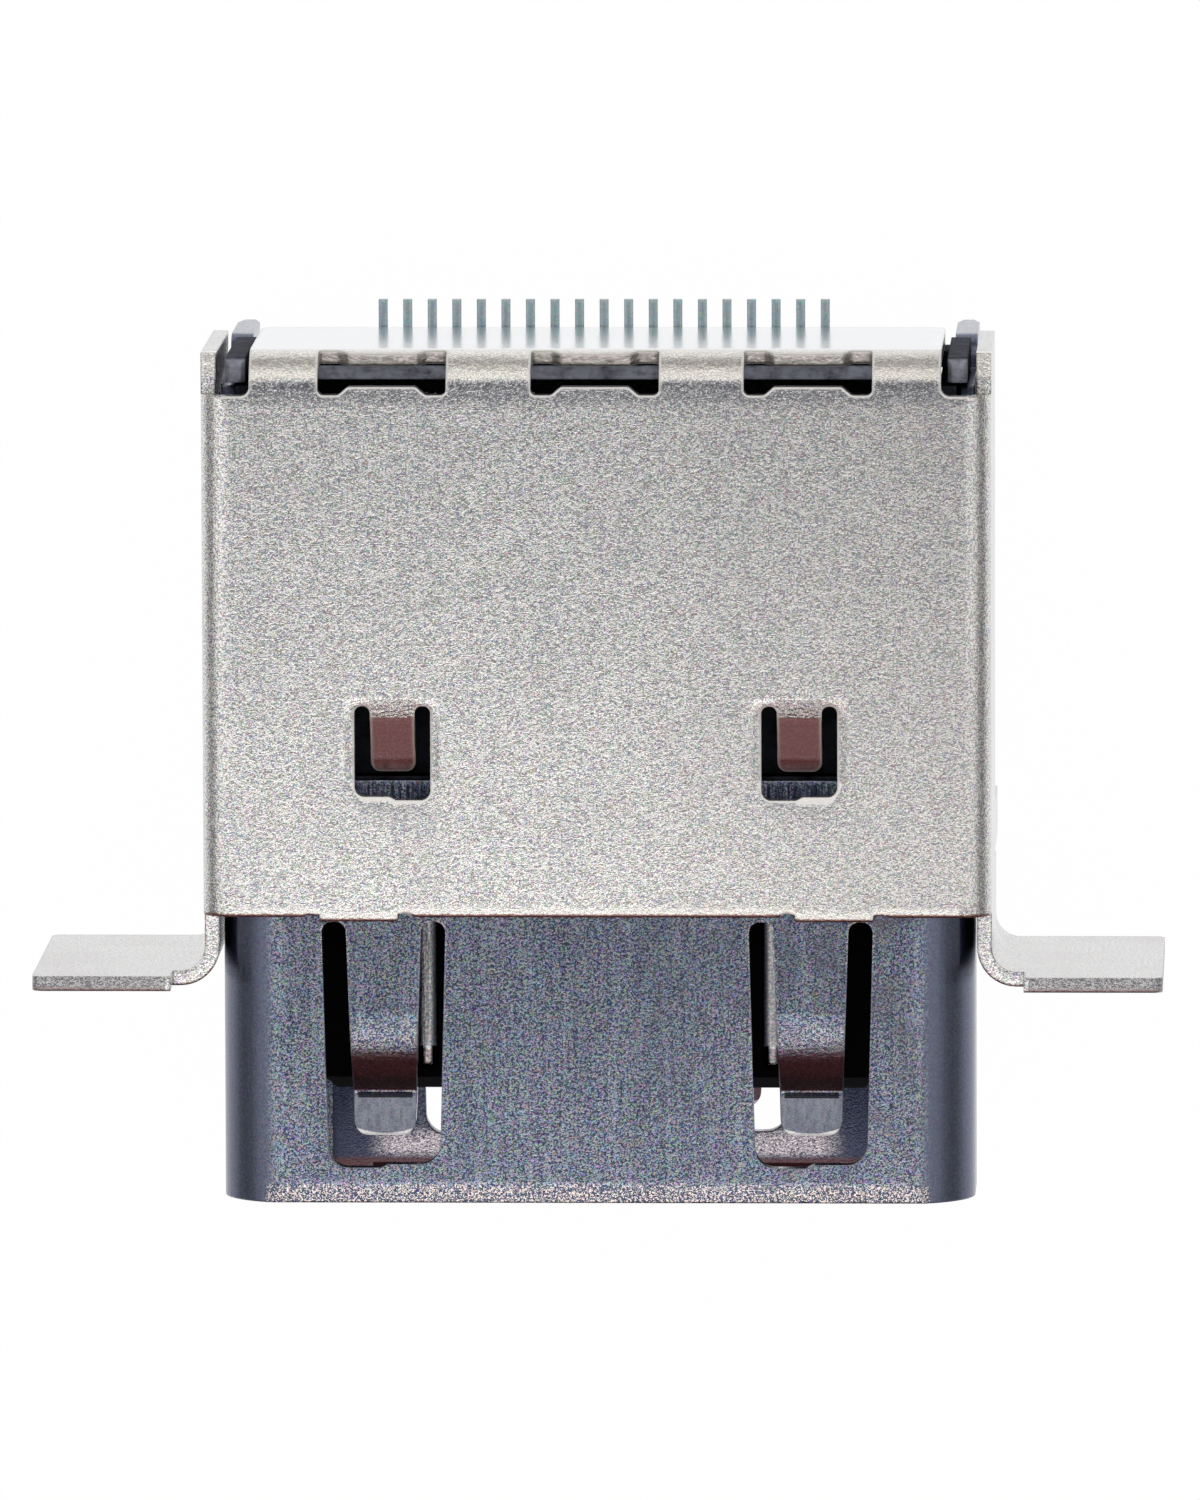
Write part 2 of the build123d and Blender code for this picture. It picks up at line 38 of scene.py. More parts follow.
# a socket that sums can be written with: each operator adds its own Math node
class Wire:
    def __init__(self, finish, socket):
        self.finish = finish
        self.socket = socket

    def maths(self, operation, *values):
        return self.finish.node("Math", {"operation": operation}, {i: v for i, v in enumerate(values)})

    def __add__(self, other):
        return self.maths("ADD", self, other)

    def __sub__(self, other):
        return self.maths("SUBTRACT", self, other)

    def __mul__(self, other):
        return self.maths("MULTIPLY", self, other)

    def __truediv__(self, other):
        return self.maths("DIVIDE", self, other)

    def __pow__(self, other):
        return self.maths("POWER", self, other)

    def __radd__(self, other):
        return self.maths("ADD", other, self)

    def __rsub__(self, other):
        return self.maths("SUBTRACT", other, self)

    def __rmul__(self, other):
        return self.maths("MULTIPLY", other, self)

    def __rtruediv__(self, other):
        return self.maths("DIVIDE", other, self)

    def __neg__(self):
        return self.maths("MULTIPLY", self, -1.0)

    def __gt__(self, other):
        return self.maths("GREATER_THAN", self, other)

    def __lt__(self, other):
        return self.maths("LESS_THAN", self, other)

    def __abs__(self):
        return self.maths("ABSOLUTE", self)

    def within(self, low, high):
        return (self > low) * (self < high)

    def clamp(self):
        return self.maths("MAXIMUM", self.maths("MINIMUM", self, 1.0), 0.0)

    def spread(self, gain, less):
        # more contrast: what is left after the multiplied value loses some
        return (self * gain - less).clamp()

    def soft(self, low, high):
        # 0 below low, 1 above high, smooth between
        limits = {"Value": self, "From Min": low, "From Max": high}
        return self.finish.node("MapRange", {"interpolation_type": "SMOOTHSTEP"}, limits)

    def faded(self, low, high):
        # 1 below low, 0 above high, smooth between
        return 1.0 - self.soft(low, high)


class Finish:
    def __init__(self, owner):
        owner.use_nodes = True
        self.tree = owner.node_tree
        self.tree.nodes.clear()

    def node(self, kind, settings=None, sockets=None, out=0):
        made = self.tree.nodes.new("ShaderNode" + kind)
        for key, value in (settings or {}).items():
            if key == "stops":
                ramp = made.color_ramp
                while len(ramp.elements) < len(value):
                    ramp.elements.new(0.5)
                for stop, (place, colour) in zip(ramp.elements, value):
                    stop.position = place
                    stop.color = (*colour, 1.0)
            else:
                setattr(made, key, value)
        for key, value in (sockets or {}).items():
            if isinstance(value, Wire):
                self.tree.links.new(value.socket, made.inputs[key])
            elif isinstance(value, tuple) and made.inputs[key].type == "RGBA":
                made.inputs[key].default_value = (*value, 1.0)
            else:
                made.inputs[key].default_value = value
        return Wire(self, made.outputs[out]) if len(made.outputs) else None

    def mix(self, amount, a, b, blend="MIX"):
        # colours only: the factor and the two colours have numbers here, as a Mix node
        # holds several sockets of each name
        settings = {"data_type": "RGBA", "blend_type": blend}
        return self.node("Mix", settings, {0: amount, 6: a, 7: b}, out=2)

    def place(self):
        # where a point is on the part, in millimetres
        here = self.node("TexCoord", out=3)
        return self.node("VectorMath", {"operation": "SCALE"}, {0: here, "Scale": 1 / mm})

    def axes(self, vector):
        split = self.node("SeparateXYZ", {}, {0: vector})
        return [Wire(self, s) for s in split.socket.node.outputs]

    def stretched(self, vector, scale):
        return self.node("VectorMath", {"operation": "MULTIPLY"}, {0: vector, 1: scale})

    def ramp(self, amount, stops):
        return self.node("ValToRGB", {"stops": stops}, {"Fac": amount})

    def noise(self, vector, size, detail, rough):
        # size is in lumps per millimetre, one number or one for each axis
        if isinstance(size, tuple):
            vector, size = self.stretched(vector, size), 1.0
        sockets = {"Vector": vector, "Scale": size, "Detail": detail, "Roughness": rough}
        return self.node("TexNoise", {}, sockets)

    def cells(self, vector, scale, out=0):
        return self.node("TexVoronoi", {"feature": "F1"}, {"Vector": vector, "Scale": scale}, out)

    def bump(self, height, strength, distance, normal):
        sockets = {"Height": height, "Strength": strength, "Distance": distance, "Normal": normal}
        return self.node("Bump", {}, sockets)

    def facing(self):
        # which way the face looks
        return self.node("NewGeometry", out=1)

    def rounded(self, radius, samples):
        # the normal that the face would have with its edges rounded, the radius in millimetres
        return self.node("Bevel", {"samples": samples}, {"Radius": radius * mm})

    def away(self, rounded):
        # how far the rounded normal turns from the face's own: 0 on flats, more along edges
        dot = self.node("VectorMath", {"operation": "DOT_PRODUCT"}, {0: rounded, 1: self.facing()}, out=1)
        return 1.0 - dot

    def surface(self, **sockets):
        named = {key.replace("_", " "): value for key, value in sockets.items()}
        shader = self.node("BsdfPrincipled", {}, named)
        self.node("OutputMaterial", {}, {"Surface": shader})


def newMaterial(name):
    material = bpy.data.materials.new(name)
    return material, Finish(material)


def dress(node, material):
    for held in parts[node].material_slots:
        held.material = material


# Lengths and places below are in millimetres. A noise has its lumps per millimetre, its detail
# and its roughness. A pair with no note is where something begins and where it is complete.

# outer shell: tin plate, finely grained, so that it glitters
tin = {
    "colour": (0.68, 0.68, 0.68),
    "glint": (1.0, 0.98, 0.95),
    "shade": (0.31, 0.315, 0.335),
    # painted highlight on rounded edges and on the latch windows' rims
    "worn": (1.0, 0.99, 0.97),       # rounded edges and the latch windows' rims

    "lying": (0.78, 1.15, 1.0),      # the grains lie across the part
    "grain": (19.0, 2.0, 0.6),
    "fine": (38.0, 1.0, 0.5),
    "cloud": (0.5, 3.0, 0.55),
    "bands": ((1.6, 0.05, 0.3), 3.0, 0.6),
    "peel": (5.5, 2.0, 0.55),        # lumps where the sheet is bent
    "streaks": ((9.0, 5.0, 1.5), 2.0, 0.6),
    "wrinkle": ((11.0, 18.0, 8.0), 2.0, 0.6),
    "speck": 20.0,                   # coloured cells per millimetre
    "dots": 16.0,
    "grainLift": 4.4,
    "fineLift": 3.7,
    "cloudFrom": 0.45,
    "bandsFrom": 0.5,

    "steep": (0.15, 0.5),            # from walls to roofs, by how far the face looks up
    "stain": (0.60, 0.545, 0.55),    # on the walls
    "stainFrom": 0.42,
    "stainCloud": 1.6,
    "stainFine": 0.8,
    # painted shade, darker towards +x on the roof
    "tarnish": (0.335, 0.312, 0.305),
    "tarnishX": (-3.0, 8.0),
    "sideBend": (7.75, 7.95),        # x where the roof turns into the side walls
    "tarnishZ": 4.0,

    "sheet": (5.2, 5.5),             # z of the roof's two faces
    "face": 0.01,                    # nearer than this to the upper face counts as on it
    "skin": 0.012,                   # beside each face of a sheet, not counted as sheared
    "roofHalf": 7.3,                 # the roof's openings lie within this x and before this y
    "roofEnd": 11.8,
    "bendAxis": (11.85, 4.7),        # y and z of the rear bend's axis
    "bendRadii": (0.5, 0.8),
    "bendHalf": 7.0,
    "flangeFront": -0.3,             # y of the flanges' front face; the rear face is at 0
    "flangeX": 8.7,
    "sheared": ((0.15, 0.145, 0.15), (0.60, 0.585, 0.56)),
    "streakSpread": (3.2, 1.1),
    "torn": (0.40, 0.32, 0.31),      # where the punch tore the sheet instead of cutting it
    "tornRagged": 0.3,
    "tornFrom": (0.62, 0.74),        # parts of the sheet's thickness
    "bendLine": (0.10, 0.24),
    "flangeRim": ((0.17, 0.17, 0.19), (0.56, 0.56, 0.57)),
    "rimGrain": 1.3,
    "rimLevel": 0.4,
    "rimTorn": (0.66, 0.80),

    "frontEdge": 1.22,
    "frontAfter": 1.0,
    "frontDepth": 0.35,
    "lug": (4.79, 0.785, 0.09),      # place, half width and length of the front edge's lugs
    # painted shade along the front edge
    "burr": (0.21, 0.085, 0.07),
    "burrRagged": 0.08,
    "burrEnds": (0.045, 0.08),
    # painted highlight behind the front edge
    "frontBand": (1.0, 0.97, 0.92),
    "frontBandEnds": (0.12, 0.26),

    "tabX": 4.095,
    "windowFront": 3.655,            # y of the latch windows' front edge
    "windowStep": 0.056,             # one half of it lies this much further forward
    "windowStepX": (-0.12, 0.02),
    "windowCorner": 0.55,            # from the middle to where the corners begin
    "windowCurve": 4.0,
    "windowRagged": 0.05,
    "windowY": (2.5, 3.95),
    "windowInside": -0.06,
    # painted highlight along the windows' front edge
    "windowRim": (0.07, 0.11),
    "windowHalf": 0.86,
    # painted shade in the sink before the windows
    "sinkStarts": (0.10, 0.15),      # the dull sink before the windows
    "sinkEnds": (0.20, 0.50),
    "sinkSides": (0.62, 1.0),
    "sinkLevel": 0.7,
    "dullGrain": 0.5,

    "coverY": 12.64,
    # painted light on the rear cover
    "coverTone": (0.96, 0.98, 1.0),
    "rearZ": 4.5,
    # painted shade before the rear bend
    "strip": (0.22, 0.225, 0.25),    # across the roof before the rear bend
    "stripStarts": (11.40, 11.85),
    "stripEnds": (12.0, 12.1),
    "stripHalf": 7.5,
    "stripLevel": 0.75,
    # painted highlight on the rear bend
    "rearBend": (1.0, 0.96, 0.90),
    "rearBendFrom": (12.05, 12.15),
    "peelFrom": (11.8, 12.0),
    "peelZ": 4.6,

    "tabReach": (4.05, 5.5),
    "tabHalf": 0.44,
    "tabAfter": 4.0,
    "smoothHalf": 0.46,
    "smoothEnds": (5.20, 5.38),
    # painted shade towards the tabs' ends
    "tabShade": (0.33, 0.190, 0.195),
    "tabShadeEnds": (4.34, 4.44),
    "tabRim": (0.80, 0.68, 0.61),
    "tabBend": 5.24,                 # y where the latch tabs turn down
    "wrinkleBehind": 0.21,
    "wrinkleHalf": (0.47, 0.18),     # across the tab and along it
    "wrinkleZ": 5.0,
    "wrinkleSpread": (1.1, 1.6),     # level, and how much the wrinkles take off
    "tabRoll": (5.05, 5.70),         # y where the sheet has sunk, and where it begins to
    "tabRollSides": (0.75, 1.05),
    "tabDrop": 0.12,                 # how deep it seems to sink before the tabs' own bend

    "crown": 0.0045,                 # how far the roof bulges, for each square millimetre
    "crownY": 7.0,
    "edgeRadius": 0.12,
    "edgeTurn": (0.003, 0.045),
    "grainDepth": 0.010,
    "share": {                       # how much of each shows in the colour
        "grain": 0.93, "speck": 0.23, "cloud": 0.3, "bands": 0.35, "steep": 0.45, "stain": 0.8,
        "tarnish": 0.30, "cut": 0.9, "torn": 0.7, "bendLine": 0.75, "rimTorn": 0.6, "frontBand": 0.5,
        "sink": 0.75, "windowRim": 0.85, "rearBend": 0.5, "cover": 0.8, "tab": 0.8, "wrinkle": 0.6,
        "edge": 0.9, "tabEdge": 0.8, "burr": 0.85,
    },
    "height": {                      # in the bump; the tabs and the cover lose this much of it
        "grain": 0.6, "fine": 0.3, "dots": 0.3, "tab": 0.75, "cover": 0.7, "wrinkle": 2.6, "peel": 1.8,
    },
    "rough": {"base": 0.20, "grain": 0.2, "cloud": 0.06, "cut": 0.2, "tab": 0.04, "edge": 0.45},
}


def tinPlate(use):
    material, f = newMaterial("tinPlate")
    share = use["share"]
    p = f.place()
    x, y, z = f.axes(p)
    aside = abs(x)
    lying = f.stretched(p, use["lying"])
    grain = f.noise(lying, *use["grain"])
    fine = f.noise(lying, *use["fine"])
    cloud = f.noise(p, *use["cloud"])
    bands = f.noise(p, *use["bands"])
    peel = f.noise(p, *use["peel"])
    streaks = f.noise(p, *use["streaks"])
    wrinkle = f.noise(p, *use["wrinkle"])
    speck = f.cells(p, use["speck"], out=1)
    dots = f.cells(p, use["dots"])
    low, high = use["sheet"]
    skin = use["skin"]
    fromTab = abs(aside - use["tabX"])

    lift = (grain - 0.5) * use["grainLift"] + (fine - 0.5) * use["fineLift"]
    tone = f.mix((lift + 0.5).clamp(), use["shade"], use["glint"])
    tone = f.mix(share["grain"], use["colour"], tone)
    tone = f.mix(share["speck"], tone, speck, "OVERLAY")
    dull = (cloud - use["cloudFrom"]).clamp() * share["cloud"]
    dull = dull + (bands - use["bandsFrom"]).clamp() * share["bands"]
    tone = f.mix(dull.clamp(), tone, use["shade"])

    # walls are plainer and stained, and painted shade darkens the roof towards +x
    upward = f.axes(f.facing())[2]
    steep = abs(upward).faded(*use["steep"])
    stained = ((cloud - use["stainFrom"]) * use["stainCloud"] + (fine - 0.5) * use["stainFine"]).clamp()
    tone = f.mix(steep * share["steep"], tone, use["colour"])
    tone = f.mix(steep * stained * share["stain"], tone, use["stain"])
    tarnish = x.soft(*use["tarnishX"]) * aside.faded(*use["sideBend"]) * (z > use["tarnishZ"])
    tone = f.mix(tarnish * share["tarnish"], tone, use["tarnish"])

    # sheared faces: roof openings, the rear bend's slots and the rims of the flanges
    onTab = (fromTab < use["tabHalf"]) * y.within(*use["tabReach"])
    roofCut = z.within(low + skin, high - skin) * (aside < use["roofHalf"])
    roofCut = roofCut * (y < use["roofEnd"]) * (1.0 - onTab)
    bendY, bendZ = use["bendAxis"]
    inner, outer = use["bendRadii"]
    fromAxis = ((y - bendY) ** 2.0 + (z - bendZ) ** 2.0) ** 0.5
    bendCut = fromAxis.within(inner + skin, outer - skin)
    bendCut = bendCut * (y > bendY) * (z > bendZ) * (aside < use["bendHalf"])
    flangeCut = y.within(use["flangeFront"] + skin, -skin) * (aside > use["flangeX"])
    cut = (roofCut + bendCut).clamp()
    depth = roofCut * (high - z) / (high - low) + bendCut * (outer - fromAxis) / (outer - inner)
    cutTone = f.mix(streaks.spread(*use["streakSpread"]), *use["sheared"])
    torn = (depth + (streaks - 0.5) * use["tornRagged"]).soft(*use["tornFrom"])
    cutTone = f.mix(torn * share["torn"], cutTone, use["torn"])
    bendLine = bendCut * depth.faded(*use["bendLine"])
    cutTone = f.mix(bendLine * share["bendLine"], cutTone, use["sheared"][0])
    tone = f.mix(cut * share["cut"], tone, cutTone)
    rimTone = f.mix((lift * use["rimGrain"] + use["rimLevel"]).clamp(), *use["flangeRim"])
    rimTorn = (y / use["flangeFront"]).soft(*use["rimTorn"])
    rimTone = f.mix(rimTorn * share["rimTorn"], rimTone, use["torn"])
    tone = f.mix(flangeCut * share["cut"], tone, rimTone)

    # a thin dark brown line of painted shade along the front edge, its colour mixed in last, and a band
    # of painted highlight behind it
    lugX, lugHalf, lugLength = use["lug"]
    onLug = (abs(aside - lugX) < lugHalf) * lugLength
    fromFront = y - use["frontEdge"] + onLug
    nearTop = z > high - use["frontDepth"]
    ahead = y > use["frontAfter"]
    ragged = fromFront + (grain - 0.5) * use["burrRagged"]
    burr = ragged.faded(*use["burrEnds"]) * nearTop * ahead
    frontBand = fromFront.faded(*use["frontBandEnds"]) * nearTop * ahead * (aside < use["roofHalf"])
    tone = f.mix(frontBand * share["frontBand"], tone, use["frontBand"])

    # latch windows: a painted white highlight along the stepped front edge, and painted shade in the sink
    # before it
    halfway = ((aside - use["tabX"]) * x.maths("SIGN", x)).soft(*use["windowStepX"])
    roundedOff = (fromTab - use["windowCorner"]).clamp() ** 2.0 * use["windowCurve"]
    fromWindow = use["windowFront"] - y - halfway * use["windowStep"] + roundedOff
    fromWindow = fromWindow + (peel - 0.5) * use["windowRagged"]
    window = (z > high - use["face"]) * y.within(*use["windowY"]) * (fromWindow > use["windowInside"])
    whiteRim = window * fromWindow.faded(*use["windowRim"]) * (fromTab < use["windowHalf"])
    sink = window * fromWindow.soft(*use["sinkStarts"]) * fromWindow.faded(*use["sinkEnds"])
    sink = sink * fromTab.faded(*use["sinkSides"])
    sinkGrain = (use["sinkLevel"] - lift * use["dullGrain"]).clamp()
    tone = f.mix(sink * sinkGrain * share["sink"], tone, use["shade"])
    tone = f.mix(whiteRim * share["windowRim"], tone, use["worn"])

    # painted shade on the roof just before the rear bend, a painted highlight on the bend, and painted
    # light that makes the rear cover brighter
    cover = y > use["coverY"]
    atRear = z > use["rearZ"]
    strip = y.soft(*use["stripStarts"]) * y.faded(*use["stripEnds"]) * atRear * (aside < use["stripHalf"])
    stripGrain = (use["stripLevel"] - lift * use["dullGrain"]).clamp()
    tone = f.mix(strip * stripGrain, tone, use["strip"])
    rearBend = y.soft(*use["rearBendFrom"]) * (1.0 - cover) * atRear
    tone = f.mix(rearBend * share["rearBend"], tone, use["rearBend"])
    tone = f.mix(cover * share["cover"], tone, use["coverTone"])

    # the latch tabs are smoother, with painted shade towards their ends, and the sheet sinks and wrinkles
    # where they turn down, with painted shade in the wrinkles
    smooth = (fromTab < use["smoothHalf"]) * y.faded(*use["smoothEnds"]) * (y > use["tabAfter"])
    tone = f.mix(smooth * share["tab"], tone, use["colour"])
    tone = f.mix(smooth * y.faded(*use["tabShadeEnds"]), tone, use["tabShade"])
    acrossHalf, alongHalf = use["wrinkleHalf"]
    bent = abs(y - use["tabBend"] - use["wrinkleBehind"]) < alongHalf
    bent = bent * (fromTab < acrossHalf) * (z > use["wrinkleZ"])
    wrinkleLevel, wrinkleGain = use["wrinkleSpread"]
    creased = (wrinkleLevel - wrinkle * wrinkleGain).clamp()
    tone = f.mix(bent * creased * share["wrinkle"], tone, use["shade"])
    sunk = y.faded(*use["tabRoll"]) * fromTab.faded(*use["tabRollSides"]) * (y > use["tabAfter"])

    # painted highlight along rounded edges, warmer on the tabs' edges
    edge = f.rounded(use["edgeRadius"], 8)
    rim = f.away(edge).soft(*use["edgeTurn"]) * (1.0 - burr) * (1.0 - flangeCut) * (1.0 - cut)
    rim = rim * (aside < use["stripHalf"]) * (1.0 - cover)
    tone = f.mix(rim * (1.0 - smooth) * share["edge"], tone, use["worn"])
    tone = f.mix(rim * smooth * share["tabEdge"], tone, use["tabRim"])
    # painted shade along the front edge, mixed in last
    tone = f.mix(burr * share["burr"], tone, use["burr"])

    tall = use["height"]
    height = grain * tall["grain"] + fine * tall["fine"] + (1.0 - dots) * tall["dots"]
    height = height * (1.0 - smooth * tall["tab"]) * (1.0 - cover * tall["cover"])
    height = height + bent * wrinkle * tall["wrinkle"]
    overBend = y.soft(*use["peelFrom"]) * (z > use["peelZ"]) * (1.0 - cover)
    height = height + overBend * peel * tall["peel"]

    dry = use["rough"]
    rough = dry["base"] + (grain - 0.5) * dry["grain"] + (cloud - 0.5) * dry["cloud"]
    rough = rough + (cut + flangeCut) * dry["cut"] - smooth * dry["tab"]
    rough = rough + (rim + whiteRim).clamp() * dry["edge"]
    bulge = (y - use["crownY"]) ** 2.0 * -use["crown"] - sunk * use["tabDrop"]
    crown = f.bump(bulge, 1.0, mm, edge)
    normal = f.bump(height, 1.0, use["grainDepth"] * mm, crown)
    f.surface(Base_Color=tone, Metallic=1.0, Roughness=rough.clamp(), Normal=normal)
    return material


dress("outer_shell", tinPlate(tin))
print("outer shell dressed")

# inner shell: darker and smoother nickel plate, with the lines of its drawing along the mouth
nickel = {
    "colour": (0.157, 0.190, 0.280),
    "glint": (0.415, 0.44, 0.51),
    "shade": (0.038, 0.053, 0.10),

    "grain": (19.0, 2.0, 0.6),
    "fine": (38.0, 1.0, 0.5),
    "lines": ((11.0, 0.5, 11.0), 3.0, 0.6),
    "teeth": ((22.0, 1.5, 9.0), 1.0, 0.5),
    "bands": ((1.1, 0.06, 1.1), 3.0, 0.6),
    "cloud": (0.5, 3.0, 0.55),
    "heat": (1.3, 4.0, 0.6),
    "streaks": ((16.0, 16.0, 1.5), 2.0, 0.6),
    "wrinkle": ((4.0, 13.0, 4.0), 2.0, 0.6),
    "speck": 20.0,
    "grainLift": 3.8,
    "fineLift": 3.0,
    "lineLift": 1.2,
    "dullFrom": 0.48,
    "warm": (0.155, 0.140, 0.165),   # a faint tint in the roof's one half
    "warmFrom": 0.47,
    "warmX": (-1.0, 6.0),
    "warmZ": 4.5,
    # painted shade on the rounded sides
    "corner": (0.105, 0.116, 0.170), # the rounded sides are smooth and nearly navy
    "cornerX": (6.45, 6.75),

    "roofSheet": (4.85, 5.15),       # z of the roof's two faces
    "floorTop": 0.3,
    "face": 0.01,
    "skin": 0.012,
    "windowY": (-4.2, 3.94),
    "roofHalf": 6.1,
    "floorHalf": 5.0,
    "sheared": ((0.10, 0.10, 0.13), (0.50, 0.50, 0.53)),
    "streakSpread": (1.8, 0.4),
    "torn": (0.26, 0.17, 0.16),
    "tornRagged": 0.3,
    "tornFrom": (0.60, 0.72),        # parts of the sheet's thickness

    "insideZ": (0.2, 0.45),          # the mouth's floor
    "insideEnd": 1.0,
    "insideShare": (0.7, 0.25),      # in the middle, and how much more at the sides
    "insideSides": (3.8, 5.4),
    # painted shade and painted light on the floor inside
    "floorShade": (0.045, 0.05, 0.085),
    "floorSpark": (0.90, 0.79, 0.82),
    "litStarts": (-4.46, -4.24),
    "litEnds": (-4.05, -3.70),
    "litSides": (4.3, 4.95),
    "litLevel": 0.46,
    "litGrain": 0.35,
    # painted shade along the floor's front edge
    "floorEdge": (0.11, 0.055, 0.055),
    "floorEdgeEnds": (-4.46, -4.36),

    "fingerX": (4.31, 2.55),         # roof and floor fingers
    "fingerHalf": 0.68,
    "fingerY": (-3.6, -0.7),
    "roofFingerZ": 3.0,
    "floorFingerZ": 0.45,
    "slopeHalf": 0.66,
    "slopeEnd": -0.9,
    "creaseY": -2.53,
    "creaseAhead": 0.015,
    "creaseHalf": 0.55,
    "creaseWidth": (0.03, 0.065),
    "creaseTone": (0.02, 0.02, 0.03),
    "bendY": -1.45,
    "bendWidth": (0.25, 0.45),
    # painted shade on the fingers' slopes
    "slope": (0.098, 0.063, 0.064),
    "slopeStarts": (0.07, 0.13),     # from the crease
    "slopeEnds": (-0.35, 0.0),       # from the bend
    "curl": (0.215, 0.225, 0.285),
    "curlSpread": (3.2, 1.3),
    # painted highlight on the fingers' tips
    "tip": (0.95, 0.95, 0.95),
    "tipY": -3.32,
    "tipCurve": 0.30,
    "tipRagged": 0.05,
    "tipEnd": -2.9,
    "tipWidth": (0.045, 0.075),
    "tipUpward": (0.1, 0.7),
    "sparkAhead": (0.22, 0.25),      # of the bend: the glitter and the shade under it
    "sparkWidth": (0.10, 0.30),
    "sparkShade": (0.1, 0.4),

    # painted glitter
    "lipSpark": (0.95, 0.82, 0.74),
    "lipEnds": (-4.44, -4.20),
    "lipSides": (6.6, 6.75),
    "lipDepth": 0.2,
    "spark": (1.4, 1.2, 1.37, 9.0),  # of the grain, of the fine grain, taken off, and multiplied
    # painted shade under the latch windows
    "underLatch": (0.014, 0.018, 0.038),
    "underFrom": 3.3,
    "underEnds": (3.82, 3.93),
    "underFade": 0.7,
    "underLevel": 1.9,
    "underTeeth": 2.4,
    "underSlope": (3.75, 0.5),       # darker ahead of this y, by this much each millimetre
    "cornerSparkY": (0.2, 1.3),
    "cornerSparkTurn": (0.001, 0.03),

    "crown": 0.008,                  # how far the roof bulges, for each square millimetre
    "crownY": -2.0,
    "edgeRadius": 0.06,
    "edgeTurn": (0.01, 0.12),
    "grainDepth": 0.008,
    "share": {                       # how much of each shows in the colour
        "grain": 0.92, "speck": 0.27, "bands": 1.0, "cloud": 0.4, "warm": 2.2, "corner": 0.85,
        "cut": 0.85, "torn": 0.8, "floorEdge": 0.8, "slope": 0.85, "curl": 0.7, "curlLines": 0.45,
        "crease": 0.9, "lip": 0.45, "lipSpark": 0.75, "under": 0.95, "sparkShade": 0.25,
        "glitter": 0.2, "edge": 0.45, "cornerSpark": 0.8,
    },
    "height": {                      # in the bump; corner, curl and slope lose this much of it
        "grain": 0.6, "fine": 0.3, "corner": 0.7, "curl": 0.8, "slope": 0.85, "lines": 0.25,
        "wrinkle": 0.7, "crease": 2.0,
    },
    "rough": {"base": 0.17, "grain": 0.16, "lines": 0.08, "cut": 0.2, "corner": 0.06, "tip": 0.5},
    "tipDullness": 0.8,              # how much less of a metal the white tip is
}


